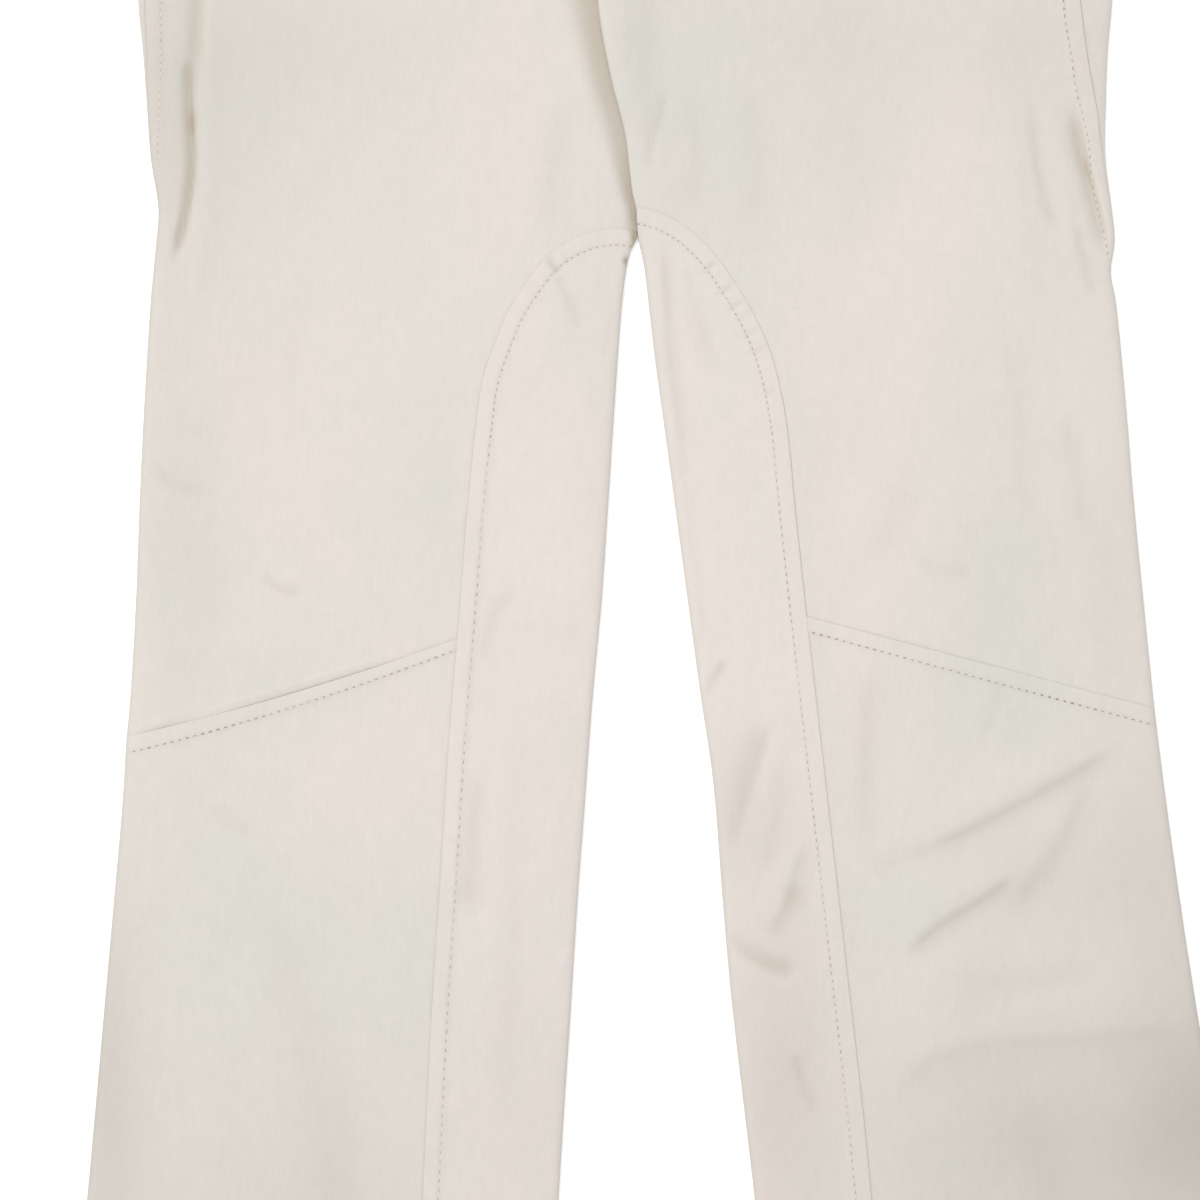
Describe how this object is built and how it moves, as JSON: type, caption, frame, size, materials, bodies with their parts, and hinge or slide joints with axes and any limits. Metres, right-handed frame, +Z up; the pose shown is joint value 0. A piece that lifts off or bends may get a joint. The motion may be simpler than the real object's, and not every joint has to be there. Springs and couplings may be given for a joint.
{
  "type": "jeans",
  "caption": "Wide-leg cream jeans lying flat, front up, with curved inner-leg panels, slanting knee seams and a plain waistband.",
  "frame": {"origin": "on the surface the jeans lie on, at the middle of their footprint", "axes": "+Z up out of the surface, +Y towards the waistband, +X towards the wearer's left leg; the front of the jeans faces +Z"},
  "size_m": [0.7011, 1.095, 0.0129],
  "materials": {
    "cotton_twill": "matt cream cotton twill",
    "button_metal": "satin nickel"
  },
  "bodies": {
    "root": {"front_thigh_right": "cotton_twill", "front_shin_right": "cotton_twill", "saddle_front_right": "cotton_twill", "saddle_back_right": "cotton_twill", "back_right": "cotton_twill", "waistband_front_right": "cotton_twill", "front_thigh_left": "cotton_twill", "front_shin_left": "cotton_twill", "saddle_front_left": "cotton_twill", "saddle_back_left": "cotton_twill", "back_left": "cotton_twill", "waistband_front_left": "cotton_twill", "waistband_back": "cotton_twill", "button": "button_metal"}
  },
  "joints": []
}
